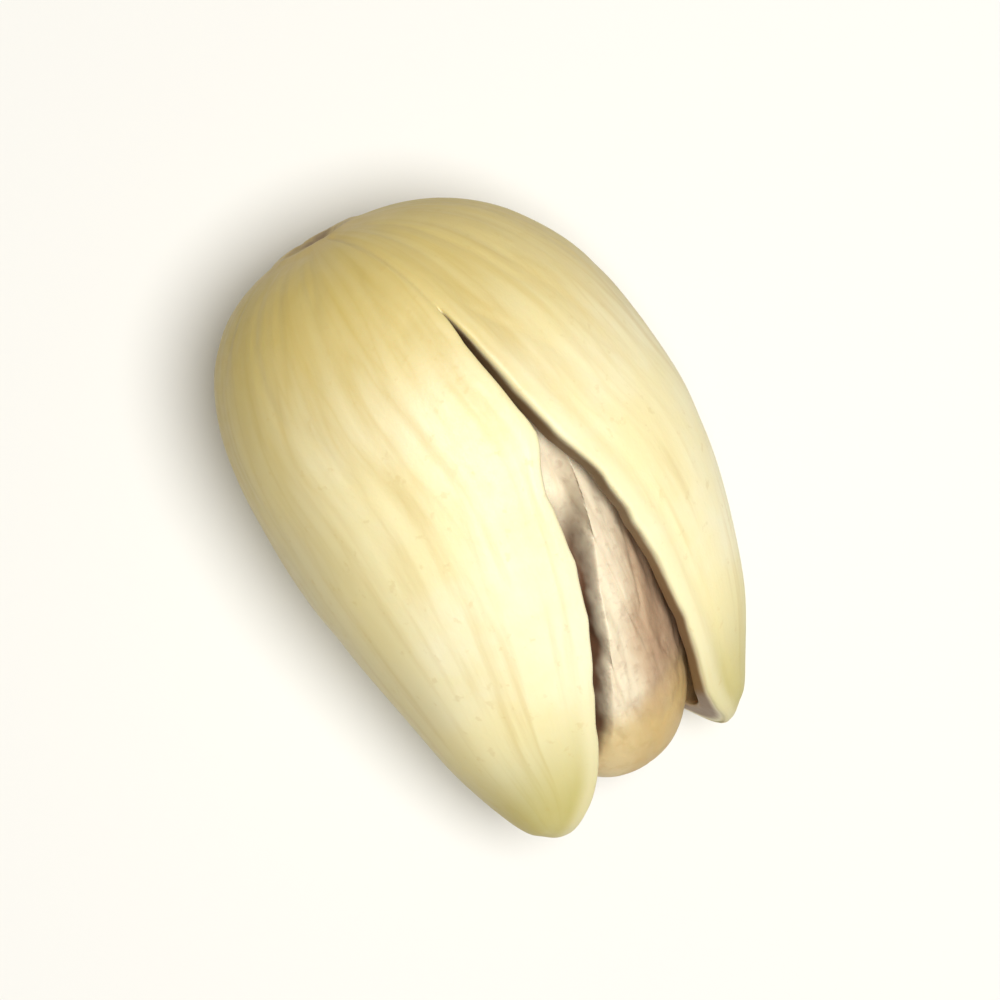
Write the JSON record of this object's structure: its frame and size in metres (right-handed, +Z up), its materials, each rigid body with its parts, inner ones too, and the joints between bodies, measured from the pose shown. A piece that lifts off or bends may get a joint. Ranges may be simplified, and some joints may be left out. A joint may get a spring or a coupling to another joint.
{
  "type": "pistachio in shell",
  "caption": "Dry nut in a hard, cream-coloured shell that has split along its seam and gapes at the tip, with the skinned kernel lying loose inside.",
  "frame": {"origin": "centre of the bounding box on the surface the nut lies on", "axes": "+X along the nut from the stem end to the open tip, +Z up out of the ventral split, +Y to the side that the split leans towards"},
  "size_m": [0.0196, 0.0134, 0.0133],
  "materials": {
    "shell": "satin",
    "kernel": "matte"
  },
  "bodies": {
    "root": {"shell": "shell", "kernel": "kernel"}
  },
  "joints": []
}
